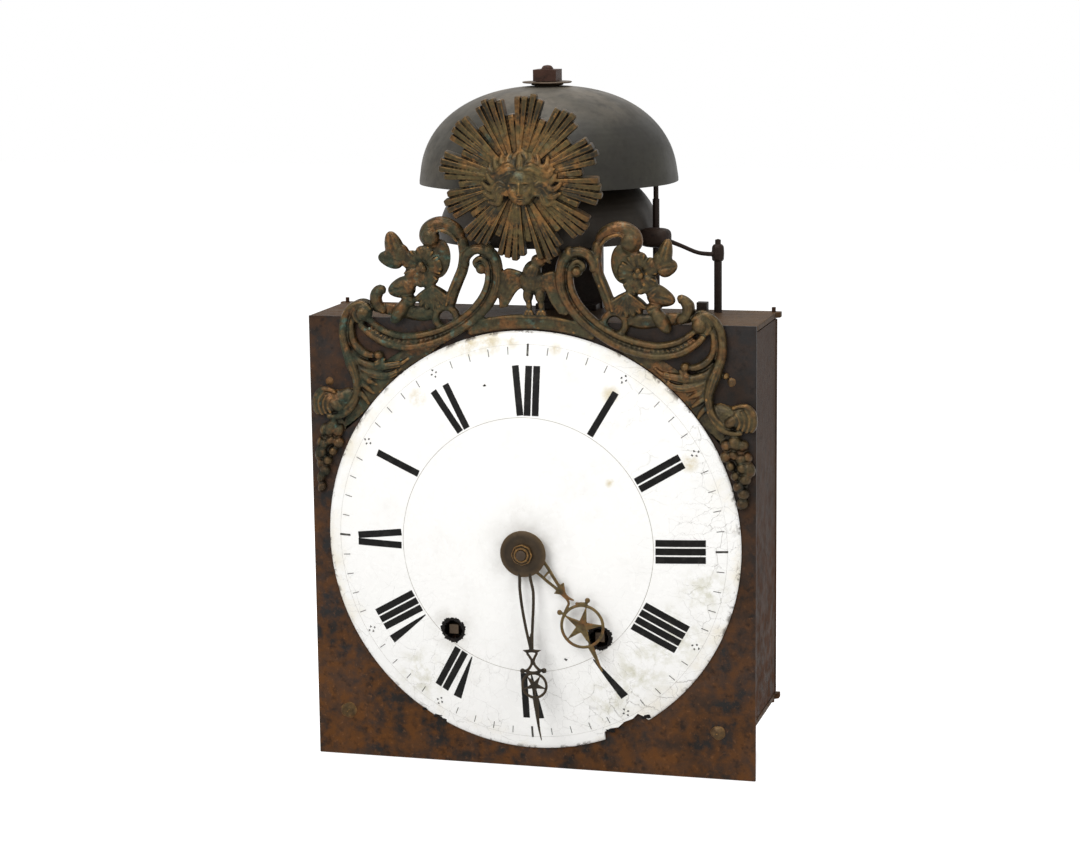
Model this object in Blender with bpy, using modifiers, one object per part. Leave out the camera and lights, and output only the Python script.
"""A comtoise clock: an iron cage with a domed enamel dial, a cast brass pediment and two bells.

Run with blender --background --python part.py. Metres, +Z up, -Y is the front. Sizes are worked
out from the front plate: its face lies at y = 0 and its lower edge at z = 0, and a root empty then
carries everything so that the middle of the base plate's underside is the origin.
"""

import math

import bmesh
import bpy
from mathutils import Matrix, Vector

# Fits
GAP = 0.0003
PIVOT_CLEARANCE = 0.0003

# Cage: front plate, top and base plates, four pillars
PLATE_WIDTH = 0.245
PLATE_HEIGHT = 0.244
PLATE_SHEET = 0.0015
CAGE_DEPTH = 0.062
CAGE_SHEET = 0.003
PILLAR_SIDE = 0.007
PILLAR_INSET = 0.0045
EAR_REACH = 0.0022
EAR_LENGTH = 0.0065

# Doors, hung on pins at the rear corners
DOOR_SHEET = 0.0012
DOOR_BARREL_RADIUS = 0.0020
DOOR_PIN_RADIUS = 0.0011
DOOR_PIN_INSET_X = 0.0017
DOOR_PIN_INSET_Y = 0.0032
DOOR_PIN_STANDS_OUT = 0.0025
DOOR_PLAY = 0.0006

# Dial
DIAL_X = 0.001
DIAL_ABOVE_MIDDLE = 0.003
DIAL_MARGIN = 0.0085
DIAL_RISE = 0.014
DIAL_SHEET = 0.0015
DIAL_HOLE_RADIUS = 0.0085
WINDING_HOLE_RADIUS = 0.0060

# Hands
HANDS_X = 0.002
HANDS_BELOW_DIAL = 0.002
MINUTE_LENGTH = 0.102
MINUTE_REST = math.radians(4.2)
HOUR_LENGTH = 0.0765
HOUR_REST = math.radians(40.0)
HAND_SHEET = 0.0012
HUB_RADIUS = 0.0125
HUB_SHEET = 0.0016

# Movement: two trains side by side between vertical bars
TRAIN_X = 0.0405
WINDING_BELOW_DIAL = 0.048
BASE_BELOW_WINDING = 0.047
BAR_WIDTH = 0.014
BAR_SHEET = 0.003
FRONT_BAR_Y = 0.014
REAR_BAR_Y = 0.050
CENTRE_BAR_WIDTH = 0.012
PIVOT_RADIUS = 0.0009
ARBOR_RADIUS = 0.0013
BARREL_PIVOT_RADIUS = 0.0020
BARREL_ARBOR_RADIUS = 0.0030
BARREL_RADIUS = 0.0145
BARREL_FLANGE_RADIUS = 0.0170
BARREL_Y = 0.023
BARREL_LENGTH = 0.019
FLANGE_SHEET = 0.0015
WINDING_SQUARE = 0.0050
WINDING_SQUARE_SET_BACK = 0.0015
RATCHET_RADIUS = 0.0125
RATCHET_TEETH = 12

# Wheel counts and centre distances
GREAT_TEETH = 42
SECOND_TEETH = 48
THIRD_TEETH = 45
LIFT_TEETH = 36
WARNING_TEETH = 30
PINION_LEAVES = 6
GREAT_REACH = 0.0400
SECOND_REACH = 0.0272
THIRD_REACH = 0.0196
HAND_WHEEL_TEETH = 28
CANNON_LEAVES = 8
MINUTE_WHEEL_TEETH = 24
MINUTE_LEAVES = 6
HOUR_WHEEL_TEETH = 24
MOTION_REACH = 0.026
MOTION_ANGLE = math.radians(-20.0)
ESCAPE_TEETH = 30
ESCAPE_RADIUS = 0.015
ANCHOR_REACH = 0.021
PALLET_CLEARANCE = 0.0014
FLY_LENGTH = 0.0115
LIFT_PINS = 6
LIFT_PIN_CIRCLE = 0.019
WHEEL_SHEET = 0.0020
GREAT_SHEET = 0.0025
PINION_LENGTH = 0.0055

# Depth at which each wheel runs, behind the front plate
HOUR_WHEEL_Y = 0.0032
SNAIL_Y = 0.0055
HAND_WHEEL_Y = 0.0080
MINUTE_WHEEL_Y = 0.0108
LIFT_WHEEL_Y = 0.0192
SECOND_WHEEL_Y = 0.0192
THIRD_WHEEL_Y = 0.0260
WARNING_WHEEL_Y = 0.0380
ESCAPE_WHEEL_Y = 0.0400
GREAT_WHEEL_Y = 0.0440
CRUTCH_Y = 0.0552
FLY_Y = 0.0240

# Strike rack
RACK_X = 0.054
RACK_WIDTH = 0.004
RACK_SHEET = 0.002
RACK_Y = 0.006
RACK_ABOVE_WINDING = 0.008
RACK_LENGTH = 0.130
RACK_TEETH = 12
RACK_PITCH = 0.003
RACK_SLACK = 0.0004
STAPLE_HEIGHT = 0.005

# Bells on one spindle, heights above the top plate
BELL_X = -0.003
BELL_SHEET = 0.003
BELL_FLARE = 0.0012
LOWER_BELL_RADIUS = 0.059
LOWER_BELL_HEIGHT = 0.042
LOWER_BELL_RIM_RISE = 0.038
BELL_STEP = 0.011
UPPER_BELL_HEIGHT = 0.052
UPPER_BELL_RIM_RISE = 0.0685
BELL_ROUNDNESS = 2.3
BELL_HOLE_RADIUS = 0.0046
SPINDLE_RADIUS = 0.0040
SPINDLE_FOOT_RADIUS = 0.0050
SPINDLE_COLLAR_RADIUS = 0.0075
SPINDLE_COLLAR_LENGTH = 0.0040
SPINDLE_STANDS_OUT = 0.0023
SPACER_RADIUS = 0.0068
SMALL_WASHER_RADIUS = 0.0090
LARGE_WASHER_RADIUS = 0.0135
WASHER_SHEET = 0.0008
BELL_NUT_SIDE = 0.0128
BELL_NUT_HEIGHT = 0.0062
STAND_RISE = 0.046
STAND_WIDTH = 0.036
STAND_LEFT = 0.006
STAND_SHEET = 0.004
STAND_SHOULDER_DROP = 0.012
STAND_LIP_REACH = 0.012
STAND_LIP_SHEET = 0.003

# Hammers, heights above the top plate and angles round the bells
HAMMER_INSET = 0.0308
HAMMER_Y = 0.052
HAMMER_ARBOR_RADIUS = 0.00215
HAMMER_ARBOR_RISE = 0.0345
HAMMER_FOOT_BELOW_TAIL = 0.020
HAMMER_HEAD_ANGLE = math.radians(-19.23)
HAMMER_HEAD_RISE = 0.0415
HAMMER_HEAD_RADIUS = 0.0058
HAMMER_HEAD_HALF = 0.0082
HAMMER_STAND_OFF = 0.0011
HALF_ANGLE = math.radians(-10.03)
HALF_ARBOR_RADIUS = 0.0019
HALF_TIP_RADIUS = 0.0014
HALF_ARBOR_RISE = 0.075
HALF_STEP_RISE = 0.061
HALF_STAND_OFF = 0.0011
HALF_HEAD_ANGLE = math.radians(-29.7)
HALF_HEAD_RADIUS = 0.0042
HALF_HEAD_RISE = 0.0775
HALF_HEAD_STAND_OFF = 0.0033
HALF_COCK_DROP = 0.016

# Cast brass ornament
PEDIMENT_X = 0.0015
PEDIMENT_LEAN = 0.12
PEDIMENT_SWAY = 0.045
ARCH_WIDTH = 0.0089
DIAL_CLEARANCE = 0.0006
SUN_X = 0.0045
SUN_SEAT_DEPTH = 0.0062
SUN_RADIUS = 0.0455
SUN_SHORT_RADIUS = 0.038
SUN_OVER_SEAT = 0.0400
SUN_TO_BELL = 0.00052
SUN_BUNDLES = 12
SUN_SHEET = 0.0022
SUN_CROWN = 0.0026
SUN_PLEAT = 0.0008
SUN_FACE_RADIUS = 0.0145
SUN_FACE_DEPTH = 0.0055
SUN_FACE_RISE = 0.004

# Derived places
HALF_WIDTH = PLATE_WIDTH / 2
DIAL_RADIUS = HALF_WIDTH - DIAL_MARGIN
TOP_UNDER = PLATE_HEIGHT - CAGE_SHEET
CAGE_FRONT = PLATE_SHEET + GAP
DIAL_RIM = DIAL_SHEET + GAP
DIAL_CROWN = DIAL_RIM + DIAL_RISE
DIAL_Z = PLATE_HEIGHT / 2 + DIAL_ABOVE_MIDDLE
HANDS_Z = DIAL_Z - HANDS_BELOW_DIAL
WINDING_Z = DIAL_Z - WINDING_BELOW_DIAL
BASE_HEIGHT = WINDING_Z - BASE_BELOW_WINDING
BASE_TOP = BASE_HEIGHT + CAGE_SHEET
RACK_LOW = WINDING_Z + RACK_ABOVE_WINDING
RACK_HIGH = RACK_LOW + RACK_LENGTH
HINGE_X = HALF_WIDTH - DOOR_PIN_INSET_X
HINGE_Y = CAGE_DEPTH - DOOR_PIN_INSET_Y
SECOND_Z = WINDING_Z + GREAT_REACH
THIRD_Z = SECOND_Z + SECOND_REACH
FOURTH_Z = THIRD_Z + THIRD_REACH
ANCHOR_Z = FOURTH_Z + ANCHOR_REACH
HOUR_HAND_Y = -DIAL_CROWN - 0.0030
MINUTE_HAND_Y = HOUR_HAND_Y - 0.0034
HUB_Y = MINUTE_HAND_Y - 0.0008
HOUR_PIPE_RADIUS = 0.0046
HOUR_PIPE_BORE = 0.0032
MINUTE_ARBOR_RADIUS = 0.0028
HAMMER_TAIL_Z = SECOND_Z
HAMMER_FOOT_Z = HAMMER_TAIL_Z - HAMMER_FOOT_BELOW_TAIL
HAMMER_X = HALF_WIDTH - HAMMER_INSET
HAMMER_ARBOR_TOP_Z = PLATE_HEIGHT + HAMMER_ARBOR_RISE
HALF_ARBOR_TOP_Z = PLATE_HEIGHT + HALF_ARBOR_RISE
HALF_COCK_Z = TOP_UNDER - HALF_COCK_DROP

# The ornament is drawn in units on a dial of this radius and height, and follows the real dial
DRAWN_DIAL_RADIUS = 114.0
DRAWN_DIAL_HEIGHT = 125.0
UNIT = DIAL_RADIUS / DRAWN_DIAL_RADIUS
SCROLL_HEAD = (25.0, 279.0)


def drawn(x, z):
    """A point of the ornament's drawing, from its axis and over the plate's lower edge."""
    return x * UNIT, DIAL_Z + (z - DRAWN_DIAL_HEIGHT) * UNIT


def sun_plane(z):
    """The depth of the sunburst's back at a height."""
    return -SUN_SEAT_DEPTH - GAP - PEDIMENT_LEAN * (z - PLATE_HEIGHT)


SUN_Z = drawn(*SCROLL_HEAD)[1] + SUN_OVER_SEAT
SUN_BACK_Y = sun_plane(SUN_Z)

# The bells stand just clear behind the sunburst, and the hammers take their places from the bells
UPPER_BELL_RADIUS = LOWER_BELL_RADIUS + BELL_STEP
LOWER_BELL_RIM_Z = PLATE_HEIGHT + LOWER_BELL_RIM_RISE
UPPER_BELL_RIM_Z = PLATE_HEIGHT + UPPER_BELL_RIM_RISE
BELL_Y = sun_plane(UPPER_BELL_RIM_Z) + SUN_TO_BELL + UPPER_BELL_RADIUS + BELL_FLARE
STAND_TOP_Z = PLATE_HEIGHT + STAND_RISE


def round_the_bells(radius, angle):
    """A place at a distance from the bells' axis and an angle round it."""
    return BELL_X + radius * math.cos(angle), BELL_Y + radius * math.sin(angle)


HAMMER_HEAD_X, HAMMER_HEAD_Y = round_the_bells(
    LOWER_BELL_RADIUS + HAMMER_STAND_OFF + HAMMER_HEAD_HALF, HAMMER_HEAD_ANGLE
)
HALF_X, HALF_Y = round_the_bells(
    LOWER_BELL_RADIUS + BELL_FLARE + HALF_STAND_OFF + HALF_ARBOR_RADIUS, HALF_ANGLE
)
HALF_HEAD_X, HALF_HEAD_Y = round_the_bells(
    UPPER_BELL_RADIUS - BELL_SHEET - HALF_HEAD_STAND_OFF - HALF_HEAD_RADIUS, HALF_HEAD_ANGLE
)

ROUND = 12
SMALL_ROUND = 8
FEW_ROUND = 6

PARTS = bpy.data.collections.new("comtoise_clock")


def clear_scene():
    """Removes whatever the scene holds, and opens the collection for the parts."""
    for old in list(bpy.data.objects):
        bpy.data.objects.remove(old)
    bpy.context.scene.collection.children.link(PARTS)


def make_finish(name, rgb, roughness, metallic):
    """A plain shader with the piece's colour, roughness and metallic value."""
    finish = bpy.data.materials.new(name)
    finish.use_nodes = True
    shader = finish.node_tree.nodes["Principled BSDF"]
    shader.inputs["Base Color"].default_value = (*rgb, 1)
    shader.inputs["Roughness"].default_value = roughness
    shader.inputs["Metallic"].default_value = metallic
    return finish


IRON = make_finish("rusted_iron", (0.045, 0.033, 0.027), 0.7, 0.6)
DARK_STEEL = make_finish("dark_steel", (0.06, 0.05, 0.045), 0.5, 0.9)
ENAMEL = make_finish("white_enamel", (0.92, 0.92, 0.90), 0.12, 0.0)
CAST_BRASS = make_finish("old_cast_brass", (0.16, 0.10, 0.04), 0.5, 0.9)
WHEEL_BRASS = make_finish("wheel_brass", (0.35, 0.24, 0.09), 0.4, 0.9)
BELL_METAL = make_finish("bell_metal", (0.075, 0.066, 0.055), 0.55, 0.8)


def mesh_of(shape):
    """A mesh from a bmesh, with its faces pointing out."""
    bmesh.ops.recalc_face_normals(shape, faces=shape.faces)
    mesh = bpy.data.meshes.new("shape")
    shape.to_mesh(mesh)
    shape.free()
    return mesh


def welded(mesh):
    """The same mesh with loose caps joined to their sides."""
    shape = bmesh.new()
    shape.from_mesh(mesh)
    bmesh.ops.remove_doubles(shape, verts=shape.verts, dist=1e-6)
    return mesh_of(shape)


def baked(holder):
    """The evaluated mesh of a helper object, which is then removed."""
    graph = bpy.context.evaluated_depsgraph_get()
    mesh = bpy.data.meshes.new_from_object(holder.evaluated_get(graph))
    bpy.data.objects.remove(holder)
    return mesh


def helper(data):
    """A helper object in the parts' collection, to be baked or removed."""
    holder = bpy.data.objects.new("helper", data)
    PARTS.objects.link(holder)
    return holder


def combined(mesh, others, operation="UNION", solver="EXACT"):
    """Joins the other meshes to the first, or cuts them from it."""
    base = helper(mesh)
    tools = [helper(other) for other in others]
    for tool in tools:
        step = base.modifiers.new("step", "BOOLEAN")
        step.operation = operation
        step.solver = solver
        step.object = tool
    made = baked(base)
    for tool in tools:
        bpy.data.objects.remove(tool)
    return made


def cut(mesh, others, solver="EXACT"):
    """The first mesh with the other meshes cut from it."""
    return combined(mesh, others, "DIFFERENCE", solver)


PLANES = {"XZ": Matrix.Rotation(math.pi / 2, 4, "X"), "XY": Matrix.Identity(4)}
ACROSS = {"XZ": Vector((0, 1, 0)), "XY": Vector((0, 0, 1))}


def sheet(loops, low, high, plane="XZ"):
    """A flat piece: outlines in a plane, the inner ones being holes, thick from low to high across it."""
    outline = bpy.data.curves.new("outline", "CURVE")
    outline.dimensions = "2D"
    outline.fill_mode = "BOTH"
    outline.extrude = (high - low) / 2
    for loop in loops:
        spline = outline.splines.new("POLY")
        spline.points.add(len(loop) - 1)
        for point, (u, v) in zip(spline.points, loop):
            point.co = (u, v, 0, 1)
        spline.use_cyclic_u = True
    mesh = welded(baked(helper(outline)))
    middle = Matrix.Translation(ACROSS[plane] * (low + high) / 2)
    mesh.transform(middle @ PLANES[plane])
    return mesh


def box(low, high):
    """A block between two corners."""
    low, high = Vector(low), Vector(high)
    shape = bmesh.new()
    bmesh.ops.create_cube(shape, size=1)
    scale = Matrix.Diagonal((*(high - low), 1))
    bmesh.ops.transform(shape, matrix=Matrix.Translation((low + high) / 2) @ scale, verts=shape.verts)
    return mesh_of(shape)


def rod(radius, start, end, sides=SMALL_ROUND, end_radius=None):
    """A round bar or cone between two points."""
    start, end = Vector(start), Vector(end)
    shape = bmesh.new()
    bmesh.ops.create_cone(
        shape,
        cap_ends=True,
        segments=sides,
        radius1=radius,
        radius2=radius if end_radius is None else end_radius,
        depth=(end - start).length,
    )
    turn = (end - start).to_track_quat("Z", "Y").to_matrix().to_4x4()
    bmesh.ops.transform(shape, matrix=Matrix.Translation((start + end) / 2) @ turn, verts=shape.verts)
    return mesh_of(shape)


def ball(centre, radii, rings=3, segments=6, turn=0.0):
    """An ellipsoid, turned in the X Z plane."""
    shape = bmesh.new()
    bmesh.ops.create_uvsphere(shape, u_segments=segments, v_segments=rings, radius=1)
    place = Matrix.Translation(centre) @ Matrix.Rotation(turn, 4, "Y") @ Matrix.Diagonal((*radii, 1))
    bmesh.ops.transform(shape, matrix=place, verts=shape.verts)
    return mesh_of(shape)


def turned(profile, steps=ROUND, along="Z"):
    """A turned piece from points of radius and height, listed down its outer side."""
    mesh = bpy.data.meshes.new("profile")
    points = [(radius, 0, height) for radius, height in profile]
    open_ended = profile[0][0] == 0 and profile[-1][0] == 0
    edges = [(i, i + 1) for i in range(len(points) - 1)]
    if not open_ended:
        edges.append((len(points) - 1, 0))
    mesh.from_pydata(points, edges, [])
    holder = helper(mesh)
    screw = holder.modifiers.new("turn", "SCREW")
    screw.axis = "Z"
    screw.steps = steps
    screw.render_steps = steps
    screw.use_merge_vertices = True
    screw.merge_threshold = 1e-5
    made = welded(baked(holder))
    if along == "Y":
        made.transform(Matrix.Rotation(math.radians(90), 4, "X"))
    return made


def smooth_path(points, steps):
    """Points of a smooth curve through the given ones."""
    points = [Vector(point) for point in points]
    ends = [2 * points[0] - points[1], *points, 2 * points[-1] - points[-2]]
    path = []
    for before, start, end, after in zip(ends, ends[1:], ends[2:], ends[3:]):
        for step in range(steps):
            t = step / steps
            path.append(
                (
                    2 * start
                    + (end - before) * t
                    + (2 * before - 5 * start + 4 * end - after) * t**2
                    + (3 * start - before - 3 * end + after) * t**3
                )
                / 2
            )
    return [*path, points[-1]]


def tube(points, radii, steps=2, resolution=1):
    """A wire or rail along a smooth curve, its radius changing evenly from first to last."""
    path = smooth_path(points, steps)
    wire = bpy.data.curves.new("wire", "CURVE")
    wire.dimensions = "3D"
    wire.bevel_depth = 1.0
    wire.bevel_resolution = resolution
    wire.use_fill_caps = True
    spline = wire.splines.new("POLY")
    spline.points.add(len(path) - 1)
    for i, point in enumerate(path):
        along = i / (len(path) - 1) * (len(radii) - 1)
        index = min(int(along), len(radii) - 2)
        share = along - index
        spline.points[i].co = (*point, 1)
        spline.points[i].radius = radii[index] * (1 - share) + radii[index + 1] * share
    return welded(baked(helper(wire)))


def circle(x, z, radius, count=SMALL_ROUND):
    """A round outline."""
    angles = [2 * math.pi * i / count for i in range(count)]
    return [(x + radius * math.cos(a), z + radius * math.sin(a)) for a in angles]


def rectangle(low_u, low_v, high_u, high_v):
    """A rectangular outline."""
    return [(low_u, low_v), (high_u, low_v), (high_u, high_v), (low_u, high_v)]


def stroke(points, widths):
    """An outline round a line of points, with a width at each."""
    left, right = [], []
    for i, point in enumerate(points):
        before, after = points[max(i - 1, 0)], points[min(i + 1, len(points) - 1)]
        du, dv = after[0] - before[0], after[1] - before[1]
        length = math.hypot(du, dv)
        nu, nv = -dv / length * widths[i] / 2, du / length * widths[i] / 2
        left.append((point[0] + nu, point[1] + nv))
        right.append((point[0] - nu, point[1] - nv))
    return left + right[::-1]


def turned_points(points, angle):
    """Points turned in their plane, positive from the first axis to the second."""
    c, s = math.cos(angle), math.sin(angle)
    return [(u * c - v * s, u * s + v * c) for u, v in points]


def part(name, mesh, finish, at=(0, 0, 0)):
    """A finished piece, named, coloured and placed under the root, with its origin at a point of its own."""
    mesh.name = name
    mesh.materials.clear()
    mesh.materials.append(finish)
    mesh.shade_smooth()
    mesh.set_sharp_from_angle(angle=math.radians(32))
    piece = bpy.data.objects.new(name, mesh)
    PARTS.objects.link(piece)
    piece.parent = ROOT
    piece.location = at
    return piece


def toothed(teeth, radius, phase, shape):
    """A toothed outline. The phase is the angle of a tooth's middle, and the shape gives points of one
    tooth as a share of the pitch and a height in modules above the pitch circle."""
    module = 2 * radius / teeth
    pitch = 2 * math.pi / teeth
    points = []
    for k in range(teeth):
        for share, height in shape:
            angle = phase + (k + share) * pitch
            reach = radius + height * module
            points.append((reach * math.cos(angle), reach * math.sin(angle)))
    return points


def gear(teeth, radius, phase):
    """The outline of a wheel, with pointed teeth."""
    return toothed(teeth, radius, phase, ((0, 0.8), (0.5, -1.2)))


def leaves(count, radius, phase):
    """The outline of a pinion, with slim leaves between a wheel's teeth."""
    return toothed(count, radius, phase, ((-0.2, -1.25), (0, 0.6), (0.2, -1.25)))


def windows(inner, outer, spokes=4, spoke_width=0.0035, arc=2):
    """The openings between a wheel's spokes."""
    loops = []
    for k in range(spokes):
        middle = 2 * math.pi * (k + 0.5) / spokes
        half = math.pi / spokes
        outer_half = half - spoke_width / 2 / outer
        inner_half = half - spoke_width / 2 / inner
        steps = [2 * i / arc - 1 for i in range(arc + 1)]
        rim = [(outer, middle + s * outer_half) for s in steps]
        hub = [(inner, middle - s * inner_half) for s in (-1, 1)]
        loops.append([(r * math.cos(a), r * math.sin(a)) for r, a in rim + hub])
    return loops


def arbor(front, back, body_front, body_back, radius=ARBOR_RADIUS, pivot=PIVOT_RADIUS):
    """A turned arbor with a pivot at each end, along Y."""
    profile = [(0, -front), (pivot, -front), (pivot, -body_front), (radius, -body_front)]
    profile += [(radius, -body_back), (pivot, -body_back), (pivot, -back), (0, -back)]
    return turned(profile, FEW_ROUND, along="Y")


BETWEEN_BARS = (FRONT_BAR_Y + BAR_SHEET + PIVOT_CLEARANCE, REAR_BAR_Y - PIVOT_CLEARANCE)
PIVOT_ENDS = (FRONT_BAR_Y + PIVOT_CLEARANCE, REAR_BAR_Y + BAR_SHEET - PIVOT_CLEARANCE)


def pinion_at(wheel_y, wheel_sheet=WHEEL_SHEET):
    """The run of a pinion whose wheel is centred on it."""
    middle = wheel_y + wheel_sheet / 2
    return middle - PINION_LENGTH / 2, middle + PINION_LENGTH / 2


def share_of(reach, teeth, mate):
    """The pitch radius of a wheel, from the centre distance to its mate."""
    return reach * teeth / (teeth + mate)


GREAT_RADIUS = share_of(GREAT_REACH, GREAT_TEETH, PINION_LEAVES)
SECOND_RADIUS = share_of(SECOND_REACH, SECOND_TEETH, PINION_LEAVES)
LIFT_RADIUS = share_of(SECOND_REACH, LIFT_TEETH, PINION_LEAVES)
THIRD_RADIUS = share_of(THIRD_REACH, THIRD_TEETH, PINION_LEAVES)
WARNING_RADIUS = share_of(THIRD_REACH, WARNING_TEETH, PINION_LEAVES)
UP = math.pi / 2
DOWN = -math.pi / 2


# Cage


def build_front_plate():
    """The sheet iron front, bored for the hands, the winding squares and its rivets."""
    loops = [rectangle(-HALF_WIDTH, 0, HALF_WIDTH, PLATE_HEIGHT)]
    loops.append(circle(HANDS_X, HANDS_Z, DIAL_HOLE_RADIUS, ROUND))
    for side in (-1, 1):
        loops.append(circle(side * TRAIN_X, WINDING_Z, WINDING_HOLE_RADIUS, ROUND))
    for x, z, shank in PLATE_RIVETS.values():
        loops.append(circle(x, z, shank + PIVOT_CLEARANCE))
    part("front_plate", sheet(loops, 0, PLATE_SHEET), IRON)


LOWER_RIVET_SHANK, UPPER_RIVET_SHANK = 0.0017, 0.0012
PLATE_RIVETS = {
    "lower_rivet_left": (-HALF_WIDTH + 0.0175, 0.025, LOWER_RIVET_SHANK),
    "lower_rivet_right": (HALF_WIDTH - 0.0202, 0.0255, LOWER_RIVET_SHANK),
    "upper_rivet_left": (*drawn(-111.5, 208.5), UPPER_RIVET_SHANK),
    "upper_rivet_right": (*drawn(109.5, 214.5), UPPER_RIVET_SHANK),
}


def build_rivets():
    """Round-headed brass rivets through the front plate, spread behind it."""
    for name, (x, z, shank) in PLATE_RIVETS.items():
        head = shank * 2.3
        tail = shank * 1.6
        front, back = GAP, PLATE_SHEET + GAP
        profile = [(0, front + head * 0.45), (head * 0.7, front + head * 0.34), (head, front)]
        profile += [(shank, front), (shank, -back), (tail, -back), (tail * 0.7, -back - tail * 0.5)]
        profile.append((0, -back - tail * 0.6))
        part(name, turned(profile, FEW_ROUND, along="Y"), CAST_BRASS, at=(x, 0, z))


def cage_outline():
    """The outline of the top and base plates, with an ear at each rear corner for a door's pin."""
    ear = HALF_WIDTH + EAR_REACH
    ear_front = CAGE_DEPTH - EAR_LENGTH
    half = [(HALF_WIDTH, CAGE_FRONT), (HALF_WIDTH, ear_front)]
    half += [(ear, ear_front + EAR_REACH), (ear, CAGE_DEPTH)]
    return half + [(-x, y) for x, y in reversed(half)]


def pin_holes():
    """The holes of the door pins."""
    return [circle(side * HINGE_X, HINGE_Y, DOOR_PIN_RADIUS + PIVOT_CLEARANCE) for side in (-1, 1)]


def build_cage_plates():
    """The base plate, slotted for the weight lines, and the top plate with the half-hour hammer's cock."""
    slots = [
        rectangle(
            side * TRAIN_X - BARREL_RADIUS,
            BARREL_Y + FLANGE_SHEET,
            side * TRAIN_X + BARREL_RADIUS,
            BARREL_Y + BARREL_LENGTH - FLANGE_SHEET,
        )
        for side in (-1, 1)
    ]
    base = sheet([cage_outline(), *pin_holes(), *slots], BASE_HEIGHT, BASE_TOP, "XY")
    part("base_plate", base, IRON)

    bores = [
        circle(HAMMER_X, HAMMER_Y, HAMMER_ARBOR_RADIUS + PIVOT_CLEARANCE),
        circle(HALF_X, HALF_Y, HALF_ARBOR_RADIUS + PIVOT_CLEARANCE),
        circle(STUD_X, STUD_Y, STUD_SHANK + PIVOT_CLEARANCE),
    ]
    top = sheet([cage_outline(), *pin_holes(), *bores], TOP_UNDER, PLATE_HEIGHT, "XY")
    leg_in, leg_out = HALF_X + 0.011, HALF_X + 0.014
    foot = HALF_X - 0.005
    cock = [
        (foot, HALF_COCK_Z),
        (leg_out, HALF_COCK_Z),
        (leg_out, TOP_UNDER + CAGE_SHEET / 2),
        (leg_in, TOP_UNDER + CAGE_SHEET / 2),
        (leg_in, HALF_COCK_Z + CAGE_SHEET),
        (foot, HALF_COCK_Z + CAGE_SHEET),
    ]
    half_cock = 0.005
    cock_mesh = sheet([cock], HALF_Y - half_cock, HALF_Y + half_cock)
    pivot_hole = rod(
        PIVOT_RADIUS + PIVOT_CLEARANCE,
        (HALF_X, HALF_Y, HALF_COCK_Z - 0.001),
        (HALF_X, HALF_Y, HALF_COCK_Z + 2 * CAGE_SHEET),
    )
    part("top_plate", combined(top, [cut(cock_mesh, [pivot_hole])]), IRON)


STUD_X, STUD_Y = HAMMER_X - 0.0077, HAMMER_Y - 0.0035
STUD_SIDE, STUD_SHANK, STUD_HEIGHT = 0.0056, 0.0014, 0.0055


def build_stud():
    """A square-headed stud on the top plate beside the hammer, screwed into it."""
    low = PLATE_HEIGHT + GAP
    half = STUD_SIDE / 2
    head = box((-half, -half, low), (half, half, low + STUD_HEIGHT))
    shank = rod(STUD_SHANK, (0, 0, PLATE_HEIGHT - CAGE_SHEET * 0.4), (0, 0, low + STUD_HEIGHT / 2))
    part("top_plate_stud", combined(head, [shank]), IRON, at=(STUD_X, STUD_Y, 0))


def build_pillars():
    """Four square pillars between the top and base plates."""
    reach_x = HALF_WIDTH - PILLAR_INSET - PILLAR_SIDE / 2
    front_y = CAGE_FRONT + PILLAR_INSET + PILLAR_SIDE / 2
    rear_y = CAGE_DEPTH - 2 * PILLAR_INSET - PILLAR_SIDE / 2
    half = PILLAR_SIDE / 2
    for row, y in (("front", front_y), ("rear", rear_y)):
        for side, x in (("left", -reach_x), ("right", reach_x)):
            post = box((-half, -half, BASE_TOP + GAP), (half, half, TOP_UNDER - GAP))
            part(f"pillar_{row}_{side}", post, IRON, at=(x, y, 0))


def bar(x, y, width, holes, extras=()):
    """A vertical movement bar between the cage plates, bored for pivots at the given heights."""
    loops = [rectangle(x - width / 2, BASE_TOP + GAP, x + width / 2, TOP_UNDER - GAP)]
    loops += [circle(x, z, radius + PIVOT_CLEARANCE) for z, radius in holes]
    return combined(sheet(loops, y, y + BAR_SHEET), extras)


def rack_staples():
    """Two staples on the strike side's front bar, in which the rack slides."""
    bar_edge = TRAIN_X + BAR_WIDTH / 2
    half = RACK_WIDTH / 2
    wall = 0.0026
    left, right = RACK_X - half - wall, RACK_X + half + wall
    front, back = RACK_Y - wall, FRONT_BAR_Y + BAR_SHEET * 0.75
    inside = FRONT_BAR_Y + BAR_SHEET * 0.25
    outline = [(bar_edge - 0.003, inside), (left, inside), (left, front), (right, front), (right, back)]
    outline.append((bar_edge - 0.003, back))
    slot = rectangle(
        RACK_X - half - RACK_SLACK,
        RACK_Y - RACK_SLACK,
        RACK_X + half + RACK_SLACK,
        RACK_Y + RACK_SHEET + RACK_SLACK,
    )
    heights = (RACK_LOW + 0.020 + RACK_TEETH * RACK_PITCH + 0.045, RACK_LOW + 0.004 + STAPLE_HEIGHT)
    return [sheet([outline, slot], z, z + STAPLE_HEIGHT, "XY") for z in heights]


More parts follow.
